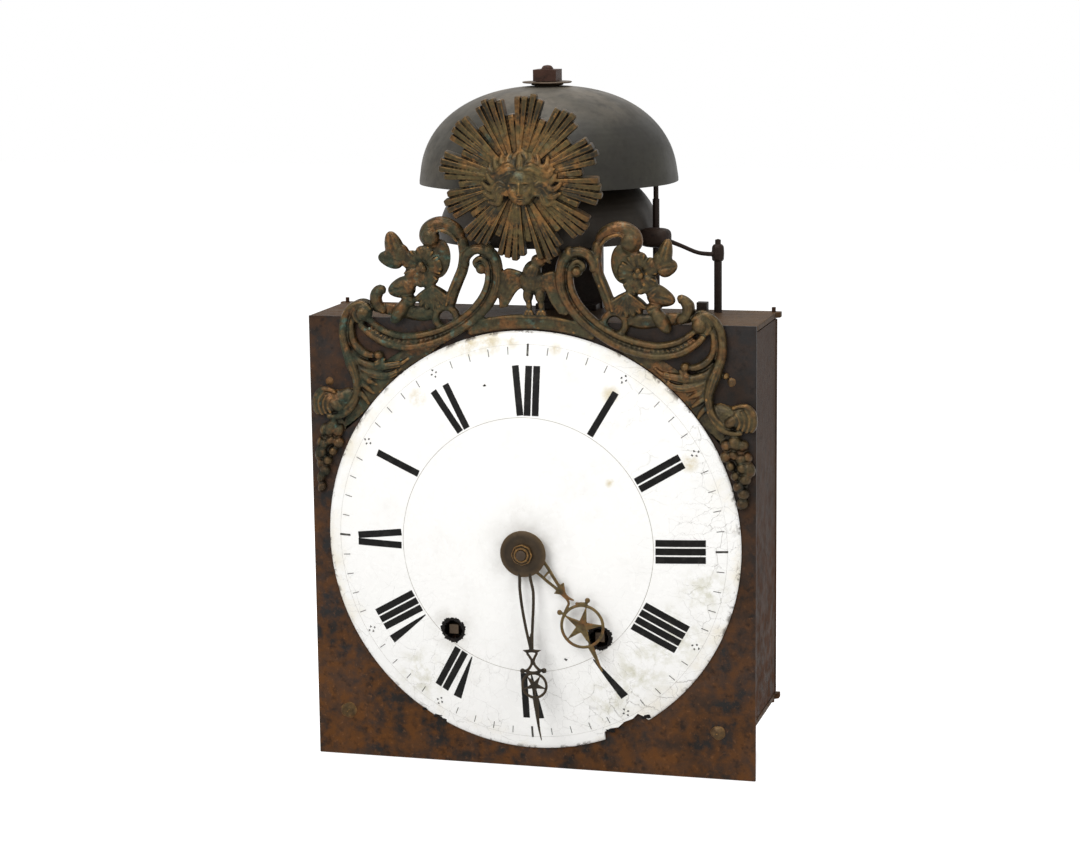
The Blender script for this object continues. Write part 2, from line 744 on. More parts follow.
def build_bars():
    """The front and rear bars of both trains, and the bar that carries the hands' arbor."""
    big, small = BARREL_ARBOR_RADIUS, PIVOT_RADIUS
    going = [(WINDING_Z, big), (SECOND_Z, ARBOR_RADIUS)]
    going += [(THIRD_Z, small), (FOURTH_Z, small), (ANCHOR_Z, small)]
    strike = [(WINDING_Z, big), (SECOND_Z, small), (THIRD_Z, small), (FOURTH_Z, small)]
    part("going_front_bar", bar(-TRAIN_X, FRONT_BAR_Y, BAR_WIDTH, going), IRON)
    part("strike_front_bar", bar(TRAIN_X, FRONT_BAR_Y, BAR_WIDTH, strike, rack_staples()), IRON)
    rear = BARREL_PIVOT_RADIUS
    going = [(WINDING_Z, rear), (SECOND_Z, small), (THIRD_Z, small)]
    going += [(FOURTH_Z, small), (ANCHOR_Z, ARBOR_RADIUS)]
    strike = [(WINDING_Z, rear), (SECOND_Z, small), (THIRD_Z, small), (FOURTH_Z, small)]
    part("going_rear_bar", bar(-TRAIN_X, REAR_BAR_Y, BAR_WIDTH, going), IRON)
    part("strike_rear_bar", bar(TRAIN_X, REAR_BAR_Y, BAR_WIDTH, strike), IRON)
    centre = bar(HANDS_X, FRONT_BAR_Y, CENTRE_BAR_WIDTH, [(HANDS_Z, MINUTE_ARBOR_RADIUS)])
    part("centre_bar", centre, IRON)


def build_doors():
    """Sheet iron side doors, rolled round a pin that turns in the ears of the cage plates."""
    low, high = BASE_TOP + DOOR_PLAY, TOP_UNDER - DOOR_PLAY
    outer = HALF_WIDTH - GAP - HINGE_X
    front = CAGE_FRONT + DOOR_PLAY - HINGE_Y
    for name, side in (("left_door", -1), ("right_door", 1)):
        near, far = sorted((side * outer, side * (outer - DOOR_SHEET)))
        leaf = box((near, front, low), (far, 0, high))
        barrel = rod(DOOR_BARREL_RADIUS, (0, 0, low + GAP), (0, 0, high - GAP), 10)
        ends = BASE_HEIGHT - DOOR_PIN_STANDS_OUT, PLATE_HEIGHT + DOOR_PIN_STANDS_OUT
        pin = rod(DOOR_PIN_RADIUS, (0, 0, ends[0]), (0, 0, ends[1]))
        part(name, combined(leaf, [barrel, pin]), IRON, at=(side * HINGE_X, HINGE_Y, 0))


# Dial and hands


def build_dial():
    """The domed enamel dial, bored for the hands and the two winding squares."""
    rings = 4
    front, back = [], []
    for i in range(rings):
        radius = DIAL_HOLE_RADIUS + (DIAL_RADIUS - DIAL_HOLE_RADIUS) * i / (rings - 1)
        rise = DIAL_RIM + DIAL_RISE * (1 - (radius / DIAL_RADIUS) ** 2)
        front.append((radius, rise))
        back.append((radius, rise - DIAL_SHEET))
    disc = turned(front + back[::-1], 34, along="Y")
    holes = [
        rod(
            WINDING_HOLE_RADIUS,
            (side * TRAIN_X - DIAL_X, -DIAL_CROWN, WINDING_Z - DIAL_Z),
            (side * TRAIN_X - DIAL_X, 0, WINDING_Z - DIAL_Z),
            ROUND,
        )
        for side in (-1, 1)
    ]
    part("dial", cut(disc, holes), ENAMEL, at=(DIAL_X, 0, DIAL_Z))


def star(x, z, radius, points=5, waist=0.36):
    """A star outline."""
    loop = []
    for i in range(2 * points):
        reach = radius if i % 2 == 0 else radius * waist
        angle = DOWN + math.pi * i / points
        loop.append((x + reach * math.cos(angle), z + reach * math.sin(angle)))
    return loop


def hand_mesh(low, turn, solids, ring_at, ring_radius, ring_width, sheet_depth=HAND_SHEET):
    """A flat pierced hand: solid outlines and a ring with a star, drawn hanging down and then turned."""
    step = sheet_depth * 0.04
    meshes = []
    for i, loop in enumerate(solids):
        inset = step * (1 + i)
        meshes.append(sheet([turned_points(loop, turn)], low + inset, low + sheet_depth - inset))
    hoop = [circle(0, -ring_at, ring_radius, ROUND), circle(0, -ring_at, ring_radius - ring_width, ROUND)]
    meshes.append(sheet([turned_points(loop, turn) for loop in hoop], low, low + sheet_depth))
    points = turned_points(star(0, -ring_at, ring_radius - ring_width * 0.4), turn)
    meshes.append(sheet([points], low + step / 2, low + sheet_depth - step / 2))
    return combined(meshes[0], meshes[1:])


def build_minute_hand():
    """The minute hand: a looped shank, an arrow, a ringed star and a point, under a round hub."""
    length = MINUTE_LENGTH
    ring_at, ring_radius = length * 0.69, 0.0076
    neck = length * 0.515
    ring_near = ring_at - ring_radius + 0.001
    sides = [
        stroke([(s * 0.003, -0.006), (s * 0.0042, -0.026), (s * 0.0012, -neck)], (0.0016, 0.0016, 0.0016))
        for s in (-1, 1)
    ]
    arrow = [(0, -length * 0.50), (-0.0046, -length * 0.53), (-0.0012, -length * 0.565)]
    arrow += [(-0.0018, -ring_near), (0.0018, -ring_near)]
    arrow += [(0.0012, -length * 0.565), (0.0046, -length * 0.53)]
    ball_at = ring_near + 0.0007
    balls = [circle(s * 0.0058, -ball_at, 0.0016, 6) for s in (-1, 1)]
    arms = stroke([(-0.0062, -ball_at), (0, -ball_at + 0.0016), (0.0062, -ball_at)], (0.0015,) * 3)
    point_base = -ring_at - ring_radius * 0.85
    point = [(-0.0014, point_base), (0.0014, point_base), (0.0003, -length)]
    point.append((-0.0003, -length))
    solids = [arrow, *sides, *balls, arms, point]
    hand = hand_mesh(MINUTE_HAND_Y, MINUTE_REST, solids, ring_at, ring_radius, 0.0013)
    hub = rod(HUB_RADIUS, (0, HUB_Y, 0), (0, HUB_Y + HUB_SHEET, 0), 18)
    bore_radius = MINUTE_ARBOR_RADIUS + PIVOT_CLEARANCE
    bore = rod(bore_radius, (0, HUB_Y - HUB_SHEET, 0), (0, HUB_Y + 3 * HUB_SHEET, 0), 10)
    whole = cut(combined(hub, [hand]), [bore])
    part("minute_hand", whole, CAST_BRASS, at=(HANDS_X, 0, HANDS_Z))


def build_hour_hand():
    """The hour hand: a short forked shank, an arrow and a large ringed star, on its own collet."""
    length = HOUR_LENGTH
    ring_at, ring_radius = length * 0.655, 0.0122
    ring_near = ring_at - ring_radius + 0.0012
    sides = [
        stroke([(s * 0.0045, -0.006), (s * 0.0012, -length * 0.37)], (0.0017, 0.0017)) for s in (-1, 1)
    ]
    arrow = [(0, -length * 0.33), (-0.0048, -length * 0.36), (-0.0012, -length * 0.40)]
    arrow += [(-0.0022, -ring_near), (0.0022, -ring_near), (0.0012, -length * 0.40), (0.0048, -length * 0.36)]
    ball_at = ring_near + 0.0003
    balls = [circle(s * 0.0098, -ball_at, 0.0018, 6) for s in (-1, 1)]
    arms = stroke([(-0.0102, -ball_at), (0, -ball_at + 0.0019), (0.0102, -ball_at)], (0.0016,) * 3)
    point = [(-0.0016, -ring_at - ring_radius * 0.9), (0.0016, -ring_at - ring_radius * 0.9)]
    point += [(-0.0022, -length), (-0.0030, -length)]
    solids = [arrow, *sides, *balls, arms, point]
    hand = hand_mesh(HOUR_HAND_Y, HOUR_REST, solids, ring_at, ring_radius, 0.0016)
    collet = rod(HUB_RADIUS * 0.7, (0, HOUR_HAND_Y - 0.0002, 0), (0, HOUR_HAND_Y + 0.0018, 0), 16)
    bore = rod(HOUR_PIPE_RADIUS + PIVOT_CLEARANCE, (0, HOUR_HAND_Y - 0.01, 0), (0, HOUR_HAND_Y + 0.01, 0), 12)
    part("hour_hand", cut(combined(collet, [hand]), [bore]), CAST_BRASS, at=(HANDS_X, 0, HANDS_Z))


def build_hand_nut():
    """The nut that holds the minute hand, on the end of its arbor."""
    nut_front = HUB_Y - 0.0031
    nut = sheet([circle(0, 0, 0.0050, 6)], nut_front, HUB_Y - GAP)
    bore_radius = MINUTE_ARBOR_RADIUS + PIVOT_CLEARANCE
    bore = rod(bore_radius, (0, nut_front - 0.002, 0), (0, HUB_Y + 0.002, 0), 10)
    part("hand_nut", cut(nut, [bore]), CAST_BRASS, at=(HANDS_X, 0, HANDS_Z))


# Motion work behind the dial

HAND_WHEEL_OFFSET = (HANDS_X + TRAIN_X, HANDS_Z - SECOND_Z)
HAND_WHEEL_RADIUS = math.hypot(*HAND_WHEEL_OFFSET) / 2
HAND_WHEEL_ANGLE = math.atan2(HAND_WHEEL_OFFSET[1], HAND_WHEEL_OFFSET[0])
CANNON_RADIUS = share_of(MOTION_REACH, CANNON_LEAVES, MINUTE_WHEEL_TEETH)
MINUTE_WHEEL_RADIUS = MOTION_REACH - CANNON_RADIUS
MINUTE_PINION_RADIUS = share_of(MOTION_REACH, MINUTE_LEAVES, HOUR_WHEEL_TEETH)
HOUR_WHEEL_RADIUS = MOTION_REACH - MINUTE_PINION_RADIUS
MINUTE_WHEEL_X = HANDS_X + MOTION_REACH * math.cos(MOTION_ANGLE)
MINUTE_WHEEL_Z = HANDS_Z + MOTION_REACH * math.sin(MOTION_ANGLE)
STUD_RADIUS = 0.0016


def build_minute_arbor():
    """The hands' arbor, with the wheel that drives it and the cannon pinion."""
    half_tooth = math.pi / HAND_WHEEL_TEETH
    wheel_loop = gear(HAND_WHEEL_TEETH, HAND_WHEEL_RADIUS, HAND_WHEEL_ANGLE + math.pi + half_tooth)
    wheel = sheet([wheel_loop], HAND_WHEEL_Y, HAND_WHEEL_Y + WHEEL_SHEET)
    cannon_low = HAND_WHEEL_Y + WHEEL_SHEET / 2
    cannon_high = FRONT_BAR_Y - PIVOT_CLEARANCE
    pinion = sheet([leaves(CANNON_LEAVES, CANNON_RADIUS, MOTION_ANGLE)], cannon_low, cannon_high)
    collar_low = FRONT_BAR_Y + BAR_SHEET + PIVOT_CLEARANCE
    shaft = [(0, -HUB_Y + 0.0042), (MINUTE_ARBOR_RADIUS, -HUB_Y + 0.0036), (MINUTE_ARBOR_RADIUS, -collar_low)]
    shaft += [(0.0045, -collar_low), (0.0045, -collar_low - 0.0015), (0, -collar_low - 0.0015)]
    mesh = combined(turned(shaft, 12, along="Y"), [wheel, pinion])
    part("minute_arbor", mesh, WHEEL_BRASS, at=(HANDS_X, 0, HANDS_Z))


def build_minute_wheel():
    """The intermediate wheel and pinion between the minute and hour hands, and the stud it turns on."""
    half_tooth = math.pi / MINUTE_WHEEL_TEETH
    teeth = gear(MINUTE_WHEEL_TEETH, MINUTE_WHEEL_RADIUS, MOTION_ANGLE + math.pi + half_tooth)
    wheel = sheet([teeth], MINUTE_WHEEL_Y, MINUTE_WHEEL_Y + 0.0016)
    pinion_low = HOUR_WHEEL_Y - 0.0006
    phase = MOTION_ANGLE + math.pi
    pinion = sheet([leaves(MINUTE_LEAVES, MINUTE_PINION_RADIUS, phase)], pinion_low, SNAIL_Y + 0.0005)
    pipe = rod(STUD_RADIUS + 0.0009, (0, SNAIL_Y, 0), (0, MINUTE_WHEEL_Y + 0.0008, 0))
    bore = rod(STUD_RADIUS + PIVOT_CLEARANCE, (0, 0, 0), (0, FRONT_BAR_Y, 0))
    whole = cut(combined(wheel, [pinion, pipe]), [bore])
    part("minute_wheel", whole, WHEEL_BRASS, at=(MINUTE_WHEEL_X, 0, MINUTE_WHEEL_Z))
    foot = PLATE_SHEET + GAP
    profile = [(0, -foot), (0.0035, -foot), (0.0035, -pinion_low + GAP), (STUD_RADIUS, -pinion_low + GAP)]
    profile += [(STUD_RADIUS, -FRONT_BAR_Y + 0.0006), (0, -FRONT_BAR_Y + 0.0006)]
    stud = turned(profile, SMALL_ROUND, along="Y")
    part("minute_wheel_stud", stud, DARK_STEEL, at=(MINUTE_WHEEL_X, 0, MINUTE_WHEEL_Z))


def build_hour_wheel():
    """The hour wheel on its pipe, with the stepped snail that counts the blows."""
    half_tooth = math.pi / HOUR_WHEEL_TEETH
    teeth = gear(HOUR_WHEEL_TEETH, HOUR_WHEEL_RADIUS, MOTION_ANGLE + half_tooth)
    wheel = sheet([teeth], HOUR_WHEEL_Y, HOUR_WHEEL_Y + WHEEL_SHEET)
    steps = 12
    low, high = 0.0085, 0.0170
    snail_loop = []
    for i in range(steps):
        reach = low + (high - low) * i / (steps - 1)
        for edge in (0.02, 0.98):
            angle = UP + math.pi / steps - 2 * math.pi * (i + edge) / steps
            snail_loop.append((reach * math.cos(angle), reach * math.sin(angle)))
    snail = sheet([snail_loop], HOUR_WHEEL_Y + WHEEL_SHEET / 2, SNAIL_Y + 0.0012)
    pipe_front = HOUR_HAND_Y - 0.0008
    pipe = rod(HOUR_PIPE_RADIUS, (0, pipe_front, 0), (0, SNAIL_Y + 0.0008, 0), 12)
    bore = rod(HOUR_PIPE_BORE, (0, pipe_front - 0.002, 0), (0, SNAIL_Y + 0.004, 0), 12)
    mesh = cut(combined(wheel, [snail, pipe]), [bore])
    part("hour_wheel", mesh, WHEEL_BRASS, at=(HANDS_X, 0, HANDS_Z))


# Trains


def build_barrel(name, x):
    """A rope barrel with flanges and ratchet, on the arbor whose square end takes the winding key."""
    back = BARREL_Y + BARREL_LENGTH
    flange, drum = BARREL_FLANGE_RADIUS, BARREL_RADIUS
    steps = [(BARREL_Y, flange), (BARREL_Y + FLANGE_SHEET, drum), (back - FLANGE_SHEET, flange)]
    profile = [(0, -FRONT_BAR_Y + 0.011), (BARREL_ARBOR_RADIUS, -FRONT_BAR_Y + 0.011)]
    profile.append((BARREL_ARBOR_RADIUS, -BARREL_Y))
    edge = BARREL_Y
    for start, radius in steps:
        profile += [(profile[-1][0], -start)] if edge != start else []
        profile.append((radius, -start))
        edge = start
    profile += [(flange, -back), (BARREL_ARBOR_RADIUS, -back)]
    shoulder = REAR_BAR_Y - PIVOT_CLEARANCE
    profile += [(BARREL_ARBOR_RADIUS, -shoulder), (BARREL_PIVOT_RADIUS, -shoulder)]
    profile += [(BARREL_PIVOT_RADIUS, -PIVOT_ENDS[1]), (0, -PIVOT_ENDS[1])]
    body = turned(profile, ROUND, along="Y")
    dial_reach = math.hypot(x - DIAL_X, WINDING_Z - DIAL_Z) / DIAL_RADIUS
    dial_front = -DIAL_RIM - DIAL_RISE * (1 - dial_reach**2)
    half = WINDING_SQUARE / 2
    square = box((-half, dial_front + WINDING_SQUARE_SET_BACK, -half), (half, FRONT_BAR_Y - 0.010, half))
    saw = []
    for k in range(RATCHET_TEETH):
        for share, reach in ((0, RATCHET_RADIUS), (0.12, RATCHET_RADIUS * 0.86)):
            angle = 2 * math.pi * (k + share) / RATCHET_TEETH
            saw.append((reach * math.cos(angle), reach * math.sin(angle)))
    ratchet = sheet([saw], back - FLANGE_SHEET / 2, GREAT_WHEEL_Y - 0.0007)
    part(name, combined(body, [square, ratchet]), WHEEL_BRASS, at=(x, 0, WINDING_Z))


def build_great_wheel(prefix, x):
    """A great wheel, loose on its barrel's arbor, and the click that it carries for the ratchet."""
    bore = circle(0, 0, BARREL_ARBOR_RADIUS + PIVOT_CLEARANCE, ROUND)
    openings = windows(0.011, GREAT_RADIUS - 0.006, spoke_width=0.006)
    loops = [gear(GREAT_TEETH, GREAT_RADIUS, UP), bore, *openings]
    wheel = sheet(loops, GREAT_WHEEL_Y, GREAT_WHEEL_Y + GREAT_SHEET)
    part(f"{prefix}_great_wheel", wheel, WHEEL_BRASS, at=(x, 0, WINDING_Z))
    near = RATCHET_RADIUS + 0.0006
    blade = [(near + 0.0005, 0.002), (near + 0.0035, -0.008)]
    blade += [(near + 0.0065, -0.0075), (near + 0.0045, 0.0025)]
    low = BARREL_Y + BARREL_LENGTH + GAP
    click = sheet([blade], low, GREAT_WHEEL_Y - GAP)
    part(f"{prefix}_click", click, DARK_STEEL, at=(x, 0, WINDING_Z))


def arbor_with(wheel_loops, wheel_y, pinion_radius, pinion_phase, pinion_span, extras=(), front=None):
    """An arbor with one wheel and one pinion, and anything else that turns with them."""
    if front is None:
        shaft = arbor(PIVOT_ENDS[0], PIVOT_ENDS[1], *BETWEEN_BARS)
    else:
        shaft = arbor(front, PIVOT_ENDS[1], front + 0.001, BETWEEN_BARS[1])
    wheel = sheet(wheel_loops, wheel_y, wheel_y + WHEEL_SHEET)
    pinion = sheet([leaves(PINION_LEAVES, pinion_radius, pinion_phase)], *pinion_span)
    return combined(shaft, [wheel, pinion, *extras])


GREAT_PINION = GREAT_REACH - GREAT_RADIUS
LEAF_GAP = math.pi / PINION_LEAVES


def build_going_train():
    """The going side: second and third wheels, escape wheel, and the anchor with its crutch."""
    drive_loop = gear(HAND_WHEEL_TEETH, HAND_WHEEL_RADIUS, HAND_WHEEL_ANGLE)
    drive = sheet([drive_loop], HAND_WHEEL_Y, HAND_WHEEL_Y + WHEEL_SHEET)
    run = pinion_at(GREAT_WHEEL_Y, GREAT_SHEET)
    loops = [gear(SECOND_TEETH, SECOND_RADIUS, UP), *windows(0.007, SECOND_RADIUS - 0.0045)]
    front = HAND_WHEEL_Y - 0.0015
    second = arbor_with(loops, SECOND_WHEEL_Y, GREAT_PINION, DOWN + LEAF_GAP, run, [drive], front)
    part("going_second_wheel", second, WHEEL_BRASS, at=(-TRAIN_X, 0, SECOND_Z))

    loops = [gear(THIRD_TEETH, THIRD_RADIUS, UP), *windows(0.006, THIRD_RADIUS - 0.004, spoke_width=0.0028)]
    pinion = SECOND_REACH - SECOND_RADIUS
    third = arbor_with(loops, THIRD_WHEEL_Y, pinion, DOWN + LEAF_GAP, pinion_at(SECOND_WHEEL_Y))
    part("going_third_wheel", third, WHEEL_BRASS, at=(-TRAIN_X, 0, THIRD_Z))

    saw = []
    for k in range(ESCAPE_TEETH):
        for share, reach in ((0, ESCAPE_RADIUS), (0.35, ESCAPE_RADIUS * 0.8)):
            angle = -2 * math.pi * (k + share) / ESCAPE_TEETH
            saw.append((reach * math.cos(angle), reach * math.sin(angle)))
    loops = [saw]
    pinion = THIRD_REACH - THIRD_RADIUS
    escape = arbor_with(loops, ESCAPE_WHEEL_Y, pinion, DOWN + LEAF_GAP, pinion_at(THIRD_WHEEL_Y))
    part("escape_wheel", escape, WHEEL_BRASS, at=(-TRAIN_X, 0, FOURTH_Z))

    pallet = ESCAPE_RADIUS + PALLET_CLEARANCE
    spread = math.radians(48)
    tip = (pallet * math.sin(spread), pallet * math.cos(spread) - ANCHOR_REACH)
    half = [(0, 0.0045), (0.005, 0.003), (tip[0] + 0.001, tip[1] + 0.006), (tip[0] + 0.0033, tip[1] + 0.001)]
    half += [(tip[0] + 0.0022, tip[1] - 0.0014), tip, (tip[0] - 0.0008, tip[1] + 0.004), (0.004, -0.0026)]
    outline = half + [(-u, v) for u, v in reversed(half[1:])]
    plate = sheet([outline], ESCAPE_WHEEL_Y - 0.0006, ESCAPE_WHEEL_Y + WHEEL_SHEET + 0.0004)
    crutch_length = 0.104
    rim = [(-0.0035, 0.0035), (0.0035, 0.0035), (0.0022, -0.012), (0.0016, -0.082), (0.0045, -0.090)]
    rim += [(0.0045, -crutch_length), (0.0018, -crutch_length), (0.0018, -0.093)]
    rim += [(-0.0018, -0.093), (-0.0018, -crutch_length), (-0.0045, -crutch_length)]
    rim += [(-0.0045, -0.090), (-0.0016, -0.082), (-0.0022, -0.012)]
    crutch = sheet([rim], CRUTCH_Y, CRUTCH_Y + 0.0015)
    end = CRUTCH_Y + 0.0020
    profile = [(0, -PIVOT_ENDS[0]), (PIVOT_RADIUS, -PIVOT_ENDS[0]), (PIVOT_RADIUS, -BETWEEN_BARS[0])]
    profile += [(ARBOR_RADIUS, -BETWEEN_BARS[0]), (ARBOR_RADIUS, -end), (0, -end)]
    mesh = combined(turned(profile, FEW_ROUND, along="Y"), [plate, crutch])
    part("anchor", mesh, DARK_STEEL, at=(-TRAIN_X, 0, ANCHOR_Z))


def build_strike_train():
    """The strike side: the wheel whose pins lift the hammer, the warning wheel and the fly."""
    pins = []
    for k in range(LIFT_PINS):
        angle = 2 * math.pi * (k + 0.5) / LIFT_PINS
        x, z = LIFT_PIN_CIRCLE * math.cos(angle), LIFT_PIN_CIRCLE * math.sin(angle)
        pins.append(rod(0.001, (x, LIFT_WHEEL_Y + WHEEL_SHEET / 2, z), (x, LIFT_WHEEL_Y + 0.008, z), 6))
    loops = [gear(LIFT_TEETH, LIFT_RADIUS, UP), *windows(0.007, LIFT_PIN_CIRCLE - 0.003)]
    run = pinion_at(GREAT_WHEEL_Y, GREAT_SHEET)
    lift = arbor_with(loops, LIFT_WHEEL_Y, GREAT_PINION, DOWN + LEAF_GAP, run, pins)
    part("pin_wheel", lift, WHEEL_BRASS, at=(TRAIN_X, 0, SECOND_Z))

    loops = [gear(WARNING_TEETH, WARNING_RADIUS, UP)]
    loops += windows(0.006, WARNING_RADIUS - 0.0048, spoke_width=0.0028)
    pin_x = WARNING_RADIUS - 0.0032
    pin_root = WARNING_WHEEL_Y + WHEEL_SHEET / 2
    warning_pin = rod(0.0009, (pin_x, WARNING_WHEEL_Y - 0.004, 0), (pin_x, pin_root, 0), 6)
    run = pinion_at(LIFT_WHEEL_Y)
    pinion = SECOND_REACH - LIFT_RADIUS
    warning = arbor_with(loops, WARNING_WHEEL_Y, pinion, DOWN + LEAF_GAP, run, [warning_pin])
    part("warning_wheel", warning, WHEEL_BRASS, at=(TRAIN_X, 0, THIRD_Z))

    shaft = arbor(PIVOT_ENDS[0], PIVOT_ENDS[1], *BETWEEN_BARS)
    outline = leaves(PINION_LEAVES, THIRD_REACH - WARNING_RADIUS, DOWN + LEAF_GAP)
    pinion = sheet([outline], *pinion_at(WARNING_WHEEL_Y))
    reach = THIRD_REACH - ARBOR_RADIUS - 0.0011
    vane = box((-reach, FLY_Y, -0.0005), (reach, FLY_Y + FLY_LENGTH, 0.0005))
    part("fly", combined(shaft, [pinion, vane]), WHEEL_BRASS, at=(TRAIN_X, 0, FOURTH_Z))


def build_rack():
    """The straight strike rack, toothed on its outer edge, with the tail that feels for the snail."""
    half = RACK_WIDTH / 2
    loop = [(half, RACK_HIGH), (-half, RACK_HIGH), (-half, RACK_LOW), (half, RACK_LOW)]
    first = RACK_LOW + 0.020
    for k in range(RACK_TEETH):
        base = first + k * RACK_PITCH
        loop += [(half, base), (half + 0.0018, base + RACK_PITCH * 0.7), (half, base + RACK_PITCH * 0.8)]
    blade = sheet([loop], RACK_Y, RACK_Y + RACK_SHEET)
    tail_low = HANDS_Z + 0.0176
    tail_y = SNAIL_Y + 0.0012 + GAP
    tail_corner = (half - 0.001, HAND_WHEEL_Y - GAP, tail_low + 0.0035)
    tail = box((HANDS_X + 0.006 - RACK_X, tail_y, tail_low), tail_corner)
    part("strike_rack", combined(blade, [tail]), DARK_STEEL, at=(RACK_X, 0, 0))


# Bells and hammers


def bell_profile(radius, height, rim_z, rings=6):
    """A bell's section: a squarish dome, bored for the spindle, with the wall set inwards."""
    power = 2 / BELL_ROUNDNESS
    outer, inner = [], []
    for i in range(rings):
        angle = math.pi / 2 * (1 - i / (rings - 1))
        flare = BELL_FLARE * (i / (rings - 1)) ** 6
        reach = max(math.cos(angle), 0) ** power
        rise = math.sin(angle) ** power
        outer.append((max(radius * reach + flare, BELL_HOLE_RADIUS), rim_z + height * rise))
        inside = max((radius - BELL_SHEET) * reach + flare, BELL_HOLE_RADIUS)
        inner.append((inside, rim_z + (height - BELL_SHEET) * rise))
    return outer + inner[::-1]


def build_bells():
    """Two bells nested on one spindle, with spacer, washers and nut, on a stand riveted to the top plate."""
    at = (BELL_X, BELL_Y, 0)
    upper = bell_profile(UPPER_BELL_RADIUS, UPPER_BELL_HEIGHT, UPPER_BELL_RIM_Z)
    part("upper_bell", turned(upper, 26), BELL_METAL, at=at)
    lower = bell_profile(LOWER_BELL_RADIUS, LOWER_BELL_HEIGHT, LOWER_BELL_RIM_Z, 5)
    part("lower_bell", turned(lower, 24), BELL_METAL, at=at)

    lower_crown = LOWER_BELL_RIM_Z + LOWER_BELL_HEIGHT
    upper_crown = UPPER_BELL_RIM_Z + UPPER_BELL_HEIGHT
    collar = lower_crown - BELL_SHEET - 3 * GAP
    under_collar = collar - SPINDLE_COLLAR_LENGTH
    washers_low = upper_crown + GAP
    nut_low = washers_low + 2 * (WASHER_SHEET + GAP)
    spindle_top = nut_low + BELL_NUT_HEIGHT + SPINDLE_STANDS_OUT
    profile = [(0, spindle_top), (SPINDLE_RADIUS * 0.62, spindle_top - 0.0004)]
    profile += [(SPINDLE_RADIUS, spindle_top - 0.003), (SPINDLE_RADIUS, collar)]
    profile += [(SPINDLE_COLLAR_RADIUS, collar)]
    profile += [(SPINDLE_COLLAR_RADIUS, under_collar), (SPINDLE_FOOT_RADIUS, under_collar - 0.002)]
    profile += [(SPINDLE_FOOT_RADIUS, STAND_TOP_Z + GAP), (0, STAND_TOP_Z + GAP)]
    part("bell_spindle", turned(profile, 10), DARK_STEEL, at=at)

    spacer_low, spacer_high = lower_crown + GAP, upper_crown - BELL_SHEET - GAP
    bore = SPINDLE_RADIUS + PIVOT_CLEARANCE
    spacer = [(SPACER_RADIUS, spacer_high), (SPACER_RADIUS, spacer_low)]
    spacer += [(bore, spacer_low), (bore, spacer_high)]
    part("bell_spacer", turned(spacer, 10), DARK_STEEL, at=at)

    low = washers_low
    washers = [("bell_washer_small", SMALL_WASHER_RADIUS), ("bell_washer_large", LARGE_WASHER_RADIUS)]
    for name, radius in washers:
        ring = [(radius, low + WASHER_SHEET), (radius, low), (bore, low), (bore, low + WASHER_SHEET)]
        part(name, turned(ring, 10), IRON, at=at)
        low += WASHER_SHEET + GAP
    half = BELL_NUT_SIDE / 2
    nut = box((-half, -half, nut_low), (half, half, nut_low + BELL_NUT_HEIGHT))
    hole = rod(bore, (0, 0, nut_low - 0.001), (0, 0, nut_low + 2 * BELL_NUT_HEIGHT), 10)
    part("bell_nut", cut(nut, [hole]), IRON, at=at)

    foot = PLATE_HEIGHT + GAP
    left = BELL_X - STAND_LEFT
    right = left + STAND_WIDTH
    shoulder = STAND_TOP_Z - STAND_SHOULDER_DROP
    outline = [(left, foot), (right, foot), (right, shoulder), (BELL_X + STAND_LEFT, STAND_TOP_Z)]
    outline.append((left, STAND_TOP_Z))
    blade = sheet([outline], BELL_Y - STAND_SHEET / 2, BELL_Y + STAND_SHEET / 2)
    lip_low = (left + 0.001, BELL_Y - STAND_LIP_REACH, foot)
    lip = box(lip_low, (right - 0.001, BELL_Y + STAND_SHEET / 2 + 0.0018, foot + STAND_LIP_SHEET))
    part("bell_stand", combined(blade, [lip]), IRON)


